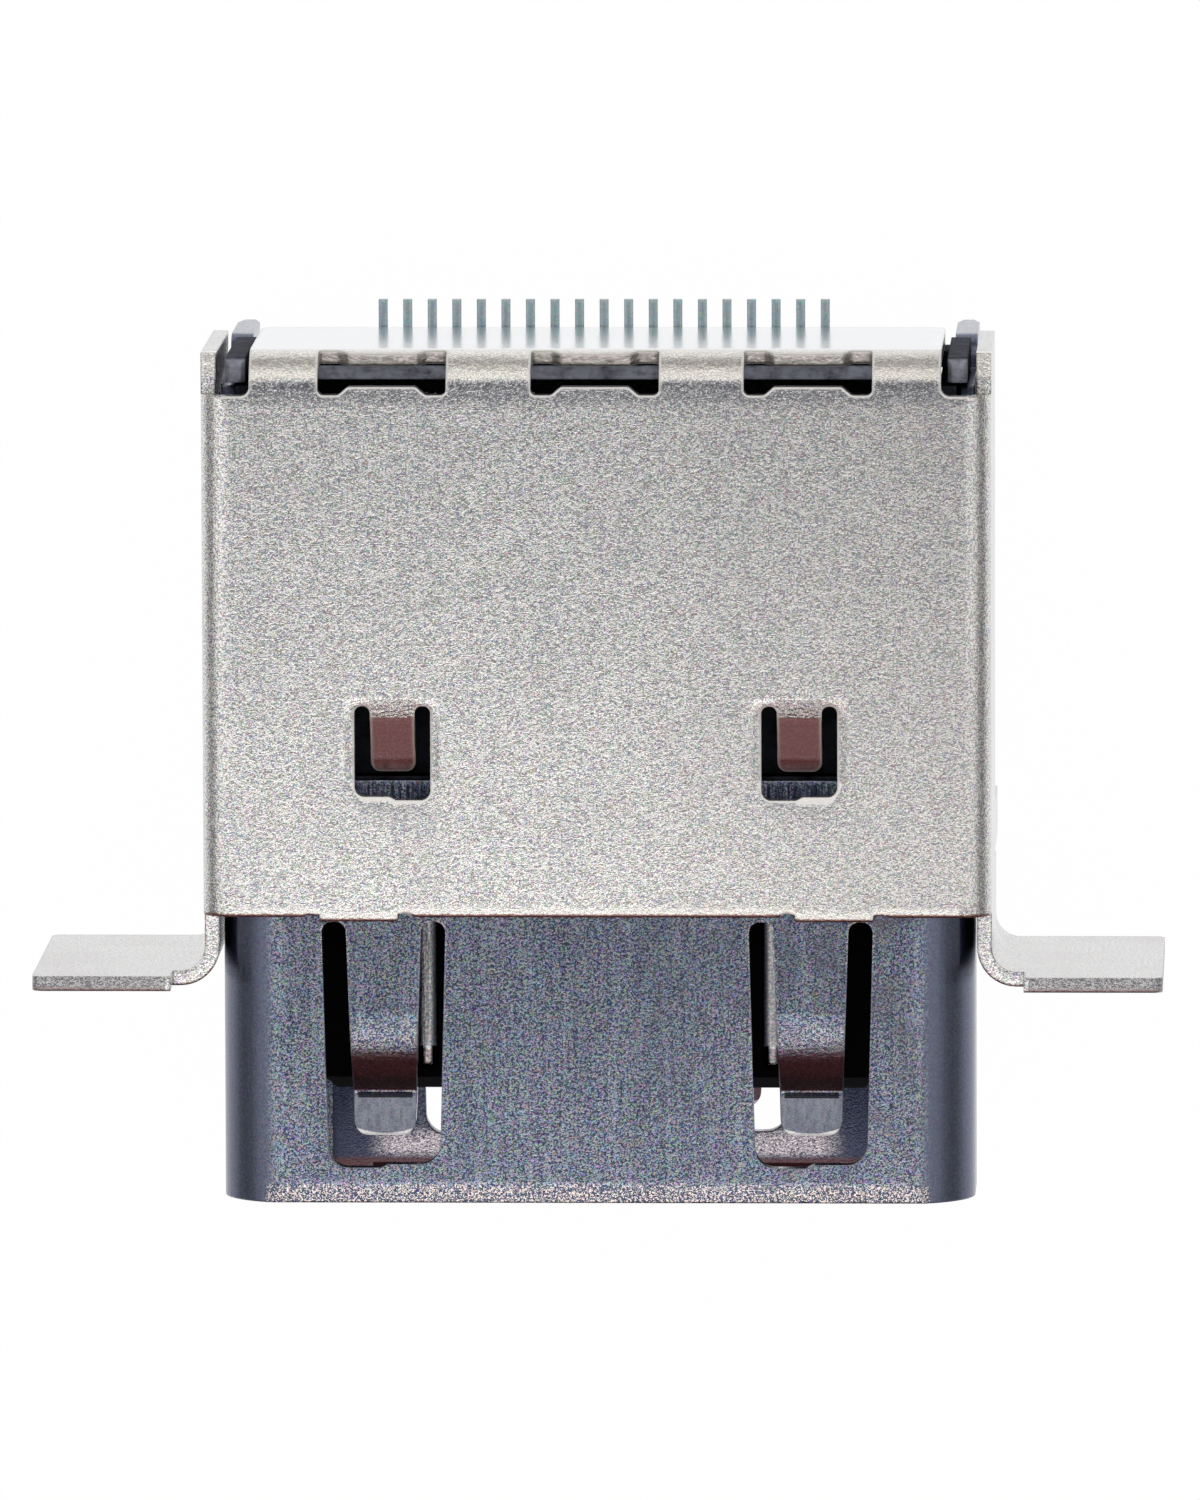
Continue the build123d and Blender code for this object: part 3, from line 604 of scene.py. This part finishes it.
def nickelPlate(use):
    material, f = newMaterial("nickelPlate")
    share = use["share"]
    p = f.place()
    x, y, z = f.axes(p)
    aside = abs(x)
    grain = f.noise(p, *use["grain"])
    fine = f.noise(p, *use["fine"])
    lines = f.noise(p, *use["lines"])
    teeth = f.noise(p, *use["teeth"])
    bands = f.noise(p, *use["bands"])
    cloud = f.noise(p, *use["cloud"])
    heat = f.noise(p, *use["heat"])
    streaks = f.noise(p, *use["streaks"])
    wrinkle = f.noise(p, *use["wrinkle"])
    speck = f.cells(p, use["speck"], out=1)
    low, high = use["roofSheet"]
    skin = use["skin"]

    lift = (grain - 0.5) * use["grainLift"] + (fine - 0.5) * use["fineLift"]
    lift = lift + (lines - 0.5) * use["lineLift"]
    tone = f.mix((lift + 0.5).clamp(), use["shade"], use["glint"])
    tone = f.mix(share["grain"], use["colour"], tone)
    tone = f.mix(share["speck"], tone, speck, "OVERLAY")
    dull = (bands - use["dullFrom"]).clamp() * share["bands"]
    dull = dull + (cloud - use["dullFrom"]).clamp() * share["cloud"]
    tone = f.mix(dull, tone, use["shade"])
    warm = (heat - use["warmFrom"]).clamp() * x.soft(*use["warmX"]) * (z > use["warmZ"])
    tone = f.mix((warm * share["warm"]).clamp(), tone, use["warm"])
    # painted shade: the rounded sides, which turn away from the light, are darkened to nearly navy
    corner = aside.soft(*use["cornerX"]) * (z > 0.0)
    tone = f.mix(corner * share["corner"], tone, use["corner"])

    # sheared faces of the windows
    roofX, floorX = use["fingerX"]
    fromFinger = x.maths("MINIMUM", abs(aside - roofX), abs(aside - floorX))
    onSlope = (fromFinger < use["slopeHalf"]) * (y < use["slopeEnd"])
    roofCut = z.within(low + skin, high - skin) * (aside < use["roofHalf"])
    roofCut = roofCut * y.within(*use["windowY"]) * (1.0 - onSlope)
    floorCut = z.within(skin, use["floorTop"] - skin) * (aside < use["floorHalf"])
    floorCut = floorCut * y.within(*use["windowY"]) * (1.0 - onSlope)
    cut = (roofCut + floorCut).clamp()
    depth = roofCut * (high - z) / (high - low) + floorCut * z / use["floorTop"]
    cutTone = f.mix(streaks.spread(*use["streakSpread"]), *use["sheared"])
    torn = (depth + (streaks - 0.5) * use["tornRagged"]).soft(*use["tornFrom"])
    cutTone = f.mix(torn * share["torn"], cutTone, use["torn"])
    tone = f.mix(cut * share["cut"], tone, cutTone)

    # painted shade on the floor inside, a painted patch of light with glitter near the mouth's edge, and
    # a dark brown line of painted shade along the floor's front edge
    inside = z.within(*use["insideZ"]) * (y < use["insideEnd"])
    lit = inside * y.soft(*use["litStarts"]) * y.faded(*use["litEnds"]) * aside.faded(*use["litSides"])
    middleShare, sideShare = use["insideShare"]
    shaded = inside * (middleShare + aside.soft(*use["insideSides"]) * sideShare)
    tone = f.mix(shaded, tone, use["floorShade"])
    tone = f.mix(lit * (use["litLevel"] + lift * use["litGrain"]).clamp(), tone, use["floorSpark"])
    floorEdge = inside * y.faded(*use["floorEdgeEnds"])
    tone = f.mix(floorEdge * share["floorEdge"], tone, use["floorEdge"])

    # a finger's slope painted brown as shade, painted shade along the crease on its crest, and a painted
    # white highlight on its sheared tip
    onRoofFinger = (abs(aside - roofX) < use["fingerHalf"]) * (z > use["roofFingerZ"])
    onFloorFinger = abs(aside - floorX) < use["fingerHalf"]
    onFloorFinger = onFloorFinger * z.within(use["floorFingerZ"], use["roofFingerZ"])
    onFinger = (onRoofFinger + onFloorFinger) * y.within(*use["fingerY"])
    fromCrease = abs(y - use["creaseY"] - use["creaseAhead"])
    crease = (fromFinger < use["creaseHalf"]) * onFinger * fromCrease.faded(*use["creaseWidth"])
    bent = onFinger * abs(y - use["bendY"]).faded(*use["bendWidth"])
    curl = onFinger * (y < use["creaseY"])
    slope = onFinger * (y - use["creaseY"]).soft(*use["slopeStarts"])
    slope = slope * (y - use["bendY"]).faded(*use["slopeEnds"])
    tone = f.mix(slope * share["slope"], tone, use["slope"])
    tone = f.mix(curl * share["curl"], tone, use["curl"])
    tone = f.mix(curl * lines.spread(*use["curlSpread"]) * share["curlLines"], tone, use["glint"])
    tone = f.mix(crease * share["crease"], tone, use["creaseTone"])
    upward = f.axes(f.facing())[2]
    fromTip = y - use["tipY"] - fromFinger ** 2.0 * use["tipCurve"] + (lines - 0.5) * use["tipRagged"]
    alongTip = fromTip.faded(*use["tipWidth"]) * (upward > use["tipUpward"][0])
    tip = onFinger * (y < use["tipEnd"]) * (upward.within(*use["tipUpward"]) + alongTip).clamp()
    tone = f.mix(tip, tone, use["tip"])

    # painted shade on the lip with painted glitter over it, and painted shade on the strip under the
    # latch windows
    lip = y.faded(*use["lipEnds"]) * (z > high - use["lipDepth"]) * aside.faded(*use["lipSides"])
    tone = f.mix(lip * share["lip"], tone, use["shade"])
    grainSpark, fineSpark, sparkLess, sparkGain = use["spark"]
    spark = (grain * grainSpark + fine * fineSpark - sparkLess).clamp() * sparkGain
    tone = f.mix((lip * spark).clamp() * share["lipSpark"], tone, use["lipSpark"])
    under = (y > use["underFrom"]) * (z > high - use["face"])
    under = under * (1.0 - y.soft(*use["underEnds"]) * use["underFade"])
    darkerY, darkerBy = use["underSlope"]
    bite = (use["underLevel"] - teeth * use["underTeeth"] + (darkerY - y) * darkerBy).clamp()
    tone = f.mix(under * bite * share["under"], tone, use["underLatch"])

    # painted glitter where the fingers turn down, with painted shade beside it, painted glitter in the
    # windows' corners, and painted highlight along rounded edges
    glitterAhead, shadeAhead = use["sparkAhead"]
    glitter = onFinger * abs(y - use["bendY"] - glitterAhead).faded(*use["sparkWidth"]) * spark
    sparkShade = onFinger * abs(y - use["bendY"] - shadeAhead).faded(*use["sparkShade"])
    tone = f.mix(sparkShade * share["sparkShade"], tone, use["shade"])
    tone = f.mix(glitter.clamp() * share["glitter"], tone, use["lipSpark"])
    edge = f.rounded(use["edgeRadius"], 6)
    turned = f.away(edge)
    rim = turned.soft(*use["edgeTurn"]) * (1.0 - cut)
    tone = f.mix(rim * share["edge"], tone, use["glint"])
    sparkFrom, sparkTo = use["cornerSparkY"]
    cornerSpark = turned.soft(*use["cornerSparkTurn"]) * (y > sparkFrom) * (y < sparkTo) * spark
    tone = f.mix(cornerSpark.clamp() * share["cornerSpark"], tone, use["lipSpark"])

    tall = use["height"]
    height = (grain * tall["grain"] + fine * tall["fine"]) * (1.0 - corner * tall["corner"])
    height = height * (1.0 - curl * tall["curl"]) * (1.0 - slope * tall["slope"]) + lines * tall["lines"]
    height = height + bent * wrinkle * tall["wrinkle"] - crease * tall["crease"]

    dry = use["rough"]
    rough = dry["base"] + (grain - 0.5) * dry["grain"] + (lines - 0.5) * dry["lines"]
    rough = rough + cut * dry["cut"] + corner * dry["corner"] + tip * dry["tip"]
    crown = f.bump((y - use["crownY"]) ** 2.0 * -use["crown"], 1.0, mm, edge)
    normal = f.bump(height, 1.0, use["grainDepth"] * mm, crown)
    metal = 1.0 - tip * use["tipDullness"]
    f.surface(Base_Color=tone, Metallic=metal, Roughness=rough.clamp(), Normal=normal)
    return material


dress("inner_shell", nickelPlate(nickel))
print("inner shell dressed")

# mouldings: glass-filled plastic, the housing nearly black and the insert slate
black = {
    "colour": (0.0009, 0.0011, 0.0018),
    "paler": (0.005, 0.006, 0.009),
    # painted light on faces that look up near the top, and on faces that look forward
    "level": (0.03, 0.033, 0.045),   # on the faces that look up at the rear
    "front": (0.022, 0.023, 0.028),
    "roughness": 0.65,
    "shine": 0.06,
}
slate = {
    "colour": (0.020, 0.023, 0.038),
    "paler": (0.13, 0.138, 0.185),
    # painted light on faces that look up near the top, and on faces that look forward
    "level": (0.37, 0.385, 0.46),
    "front": (0.03, 0.033, 0.045),
    "roughness": 0.36,
    "shine": 0.22,
}
moulded = {                          # what both have in common
    "fibreLie": (1.0, 4.0, 1.0),
    "fibre": (4.0, 4.0, 0.6),
    "fibreFrom": 0.42,
    "fibreGain": 2.2,
    "pore": (20.0, 2.0, 0.5),
    "blot": (2.6, 4.0, 0.65),
    "frontFacing": (0.5, 0.9),
    "frontShare": 0.8,
    "upFacing": (0.3, 0.8),
    "levelZ": 4.0,
    "levelFibre": 0.8,
    "levelBlot": 2.6,
    "levelLess": 0.9,
    "rough": {"fibre": 0.3, "pore": 0.1, "steep": 0.45},
    "height": {"fibre": 0.5, "pore": 0.5},
    "bumpStrength": 0.6,
    "bumpDepth": 0.012,
    "edgeRadius": 0.06,
}


def mouldedPlastic(name, use, shared):
    material, f = newMaterial(name)
    p = f.place()
    z = f.axes(p)[2]
    fibre = f.noise(f.stretched(p, shared["fibreLie"]), *shared["fibre"])
    pore = f.noise(p, *shared["pore"])
    blot = f.noise(p, *shared["blot"])
    rearward, upward = f.axes(f.facing())[1:]
    tone = f.mix((fibre - shared["fibreFrom"]).clamp() * shared["fibreGain"], use["colour"], use["paler"])
    # painted light on faces that look forward, and in patches on faces that look up near the top
    tone = f.mix((-rearward).soft(*shared["frontFacing"]) * shared["frontShare"], tone, use["front"])
    looksUp = upward.soft(*shared["upFacing"])
    patches = (fibre * shared["levelFibre"] + blot * shared["levelBlot"] - shared["levelLess"]).clamp()
    tone = f.mix(looksUp * (z > shared["levelZ"]) * patches, tone, use["level"])
    dry = shared["rough"]
    rough = use["roughness"] + (fibre - 0.5) * dry["fibre"] + (pore - 0.5) * dry["pore"]
    rough = rough + (1.0 - looksUp) * dry["steep"]
    tall = shared["height"]
    edge = f.rounded(shared["edgeRadius"], 6)
    height = fibre * tall["fibre"] + pore * tall["pore"]
    normal = f.bump(height, shared["bumpStrength"], shared["bumpDepth"] * mm, edge)
    f.surface(Base_Color=tone, Roughness=rough.clamp(), Specular_IOR_Level=use["shine"], Normal=normal)
    return material


dress("housing", mouldedPlastic("blackPlastic", black, moulded))
dress("rear_insert", mouldedPlastic("slatePlastic", slate, moulded))
print("mouldings dressed")

# contacts: pale bright plating along the tongue, tin on the tails
contact = {
    "strip": (0.50, 0.51, 0.56),
    "tin": (0.50, 0.62, 0.65),
    "glint": (1.0, 0.92, 0.85),
    "dark": (0.09, 0.10, 0.135),
    # painted shade on the strip's sides
    "side": (0.035, 0.042, 0.06),
    "drawn": ((14.0, 1.2, 14.0), 3.0, 0.6),
    "grain": (16.0, 2.0, 0.5),
    "speck": 19.0,
    "speckShare": 0.15,
    "stripEnds": (2.75, 3.25),       # y where the strip's plating gives way to tin
    "stripRagged": 0.6,
    "glintSpread": (5.5, 2.4),
    "glintShare": 0.8,
    "darkFrom": 0.4,
    "darkShare": (1.4, 0.9),         # on the strip, and how much less on the tail
    "pitch": 0.5,
    "sideFrom": (0.05, 0.13),        # from the strip's middle
    "sideZ": 2.7,
    "sideShare": 0.9,
    "rough": {"base": 0.24, "grain": 0.2, "tail": 0.06},
    "height": {"drawn": 0.6, "grain": 0.4},
    "bumpDepth": 0.008,
    "edgeRadius": 0.09,
}


def contactPlate(use):
    material, f = newMaterial("contactPlate")
    p = f.place()
    x, y, z = f.axes(p)
    drawn = f.noise(p, *use["drawn"])
    grain = f.noise(p, *use["grain"])
    speck = f.cells(p, use["speck"], out=1)
    tail = (y + (grain - 0.5) * use["stripRagged"]).soft(*use["stripEnds"])
    tone = f.mix(tail, use["strip"], use["tin"])
    glints = grain.spread(*use["glintSpread"]) * (1.0 - tail)
    tone = f.mix(glints * use["glintShare"], tone, use["glint"])
    stripShare, tailLess = use["darkShare"]
    tone = f.mix((drawn - use["darkFrom"]).clamp() * (stripShare - tail * tailLess), tone, use["dark"])
    tone = f.mix(use["speckShare"], tone, speck, "OVERLAY")
    fromMiddle = x.maths("PINGPONG", x, use["pitch"] / 2)
    # painted shade on the strip's sides, so that it looks round
    side = fromMiddle.soft(*use["sideFrom"]) * (1.0 - tail) * (z > use["sideZ"])
    tone = f.mix(side * use["sideShare"], tone, use["side"])
    dry, tall = use["rough"], use["height"]
    rough = dry["base"] + (grain - 0.5) * dry["grain"] + tail * dry["tail"]
    edge = f.rounded(use["edgeRadius"], 6)
    height = drawn * tall["drawn"] + grain * tall["grain"]
    normal = f.bump(height, 1.0, use["bumpDepth"] * mm, edge)
    f.surface(Base_Color=tone, Metallic=1.0, Roughness=rough.clamp(), Normal=normal)
    return material


contactMetal = contactPlate(contact)
for name in sorted(parts):
    if name.startswith("contact_"):
        dress(name, contactMetal)
print("contacts dressed")

# floor, plain and pale, under the tips of the legs
studio = {
    "floorSize": 4.0,                # metres
    "floorColour": (0.95, 0.95, 0.95),
    "backShare": 0.99,               # of the floor's white is backdrop, the rest keeps the shadow
    "middleY": 4.0,
    "litRing": (13.0, 50.0),         # from the middle, where the floor's reflection falls off
    "lit": (1.0, 1.0, 1.0),
    "unlit": (0.40, 0.39, 0.38),
}


def makeFloor(use):
    low = cadBox[0][2]
    half = use["floorSize"] / 2
    corners = [(-half, -half, low), (half, -half, low), (half, half, low), (-half, half, low)]
    mesh = bpy.data.meshes.new("floor")
    mesh.from_pydata(corners, [], [(0, 1, 2, 3)])
    floor = bpy.data.objects.new("floor", mesh)
    bpy.context.scene.collection.objects.link(floor)
    material, f = newMaterial("paleFloor")
    x, y = f.axes(f.place())[:2]
    away = (x ** 2.0 + (y - use["middleY"]) ** 2.0) ** 0.5
    seen = f.node("LightPath", out=0)      # by the camera
    glossy = f.node("LightPath", out=3)    # in a reflection
    through = f.node("LightPath", out=6)   # through glass
    backdrop = (seen + glossy + through).clamp() * use["backShare"]
    shine = f.mix(away.soft(*use["litRing"]) * glossy, use["lit"], use["unlit"])
    matte = f.node("BsdfDiffuse", {}, {"Color": use["floorColour"]})
    white = f.node("Emission", {}, {"Color": shine, "Strength": 1.0})
    blended = f.node("MixShader", {}, {0: backdrop, 1: matte, 2: white})
    f.node("OutputMaterial", {}, {"Surface": blended})
    mesh.materials.append(material)


makeFloor(studio)
print("floor made")

# light: a pale tent with a soft box over the mouth, and the dim room round it near the horizon
tent = {
    "lengthwise": [                  # degrees from straight up towards the mouth, and the light there
        (-90, (0.36, 0.35, 0.34)),
        (-76, (0.40, 0.39, 0.38)),
        (-67, (0.92, 0.90, 0.87)),
        (-29, (1.02, 1.00, 0.975)),
        (-23, (0.34, 0.345, 0.36)),
        (-16, (0.24, 0.245, 0.26)),
        (-6, (0.34, 0.345, 0.36)),
        (3, (0.50, 0.505, 0.515)),
        (7, (0.66, 0.66, 0.665)),
        (11, (0.81, 0.805, 0.79)),
        (14, (0.94, 0.93, 0.91)),
        (22, (1.34, 1.32, 1.29)),
        (32, (1.26, 1.23, 1.19)),
        (40, (0.62, 0.50, 0.47)),
        (46, (0.31, 0.15, 0.15)),
        (57, (0.265, 0.105, 0.112)),
        (69, (0.115, 0.080, 0.078)),
        (90, (0.09, 0.085, 0.085)),
    ],
    "sideways": [                    # height of the ray, and the light there
        (0.0, (0.32, 0.315, 0.31)),
        (0.30, (0.44, 0.435, 0.43)),
        (0.56, (1.00, 0.99, 0.97)),
        (0.80, (1.10, 1.09, 1.07)),
        (0.93, (0.86, 0.855, 0.85)),
        (1.0, (0.64, 0.64, 0.65)),
    ],
    "sidesFrom": (0.5, 0.92),        # where the one gives way to the other
    "overhead": 0.02,                # keeps straight up out of the sides
    "background": (1.0, 1.0, 1.0),
    "strength": 1.0,
}


def makeTent(use):
    world = bpy.data.worlds.new("tent")
    bpy.context.scene.world = world
    f = Finish(world)
    x, y, z = f.axes(f.node("TexCoord"))   # where the ray goes
    lean = y.maths("ARCTAN2", -y, z) / (2 * math.pi) + 0.5
    lengthwise = f.ramp(lean, [(angle / 360 + 0.5, light) for angle, light in use["lengthwise"]])
    sideways = f.ramp(z, use["sideways"])
    aside = abs(x) / (x ** 2.0 + y ** 2.0 + use["overhead"]) ** 0.5
    light = f.mix(aside.soft(*use["sidesFrom"]), lengthwise, sideways)
    light = f.mix(f.node("LightPath"), light, use["background"])   # the camera sees plain white
    back = f.node("Background", {}, {"Color": light, "Strength": use["strength"]})
    f.node("OutputWorld", {}, {"Surface": back})


makeTent(tent)

lamps = {                            # metres and watts
    "overMouth": {
        "at": (0.0, -0.22, 0.46), "aim": (0.0, 0.004, 0.003), "size": (0.34, 0.14),
        "power": 0.08, "colour": (1.0, 0.98, 0.96),
    },
}


def makeLamp(name, use):
    data = bpy.data.lights.new(name, "AREA")
    data.shape = "RECTANGLE"
    data.size, data.size_y = use["size"]
    data.energy = use["power"]
    data.color = use["colour"]
    lamp = bpy.data.objects.new(name, data)
    bpy.context.scene.collection.objects.link(lamp)
    lamp.location = use["at"]
    aim = Vector(use["aim"]) - Vector(use["at"])
    lamp.rotation_euler = aim.to_track_quat("-Z", "Y").to_euler()


for name, use in lamps.items():
    makeLamp(name, use)
print("lights made")

# camera, high above the part and a little behind it
shot = {
    "yaw": 0.03737,                  # radians
    "pitch": 0.12111,
    "roll": -0.003324,
    "target": (-0.0161, 4.2819, 2.75),
    "distance": 372.6,
    "focus": 18389.7,                # focal length in pixels of a frame 1500 high
    "frameHeight": 1500,
    "sensor": 36.0,
    "clip": (0.01, 20.0),            # metres
}


def makeCamera(use):
    yaw, pitch, roll = use["yaw"], use["pitch"], use["roll"]
    back = Vector((math.sin(yaw), math.sin(pitch) * math.cos(yaw), math.cos(pitch) * math.cos(yaw)))
    back = back.normalized()
    up = Vector((0.0, 1.0, 0.0))
    up = (up - back * up.dot(back)).normalized()
    right = up.cross(back)
    turnedRight = right * math.cos(roll) + up * math.sin(roll)
    turnedUp = up * math.cos(roll) - right * math.sin(roll)
    data = bpy.data.cameras.new("camera")
    data.sensor_width = use["sensor"]
    data.sensor_fit = "AUTO"
    data.lens = use["focus"] * use["sensor"] / use["frameHeight"]
    data.clip_start, data.clip_end = use["clip"]
    camera = bpy.data.objects.new("camera", data)
    bpy.context.scene.collection.objects.link(camera)
    at = (Vector(use["target"]) + back * use["distance"]) * mm
    turn = Matrix((turnedRight, turnedUp, back)).transposed()
    camera.matrix_world = Matrix.Translation(at) @ turn.to_4x4()
    bpy.context.scene.camera = camera


makeCamera(shot)
bpy.context.scene.view_settings.view_transform = "Standard"
print("camera set")
